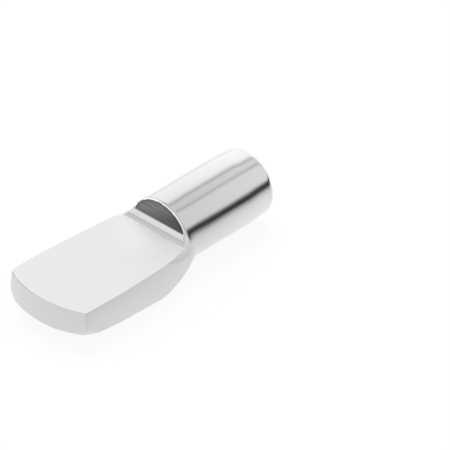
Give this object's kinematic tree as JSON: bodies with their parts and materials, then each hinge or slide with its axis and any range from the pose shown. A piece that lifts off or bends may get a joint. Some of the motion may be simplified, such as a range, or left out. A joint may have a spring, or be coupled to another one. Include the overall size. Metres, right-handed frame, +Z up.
{
  "type": "shelf support pin",
  "caption": "Spoon-shaped shelf support pin: a round stem with a rounded lead-in and a flat, widened blade that a shelf rests on, in bright-plated steel.",
  "frame": {"origin": "on the stem's axis, where the shoulder has died into the stem and the panel's face comes, 1.5 mm past the step", "axes": "+X along the stem towards its free end, with the blade towards -X; +Z up, out of the flat top of the blade; the part is the same on both sides of the XZ plane"},
  "size_m": [0.0197, 0.0074, 0.005],
  "materials": {
    "nickel_plate": "bright nickel plate, polished by tumbling, over steel"
  },
  "bodies": {
    "root": {"shelf_pin": "nickel_plate"}
  },
  "joints": []
}
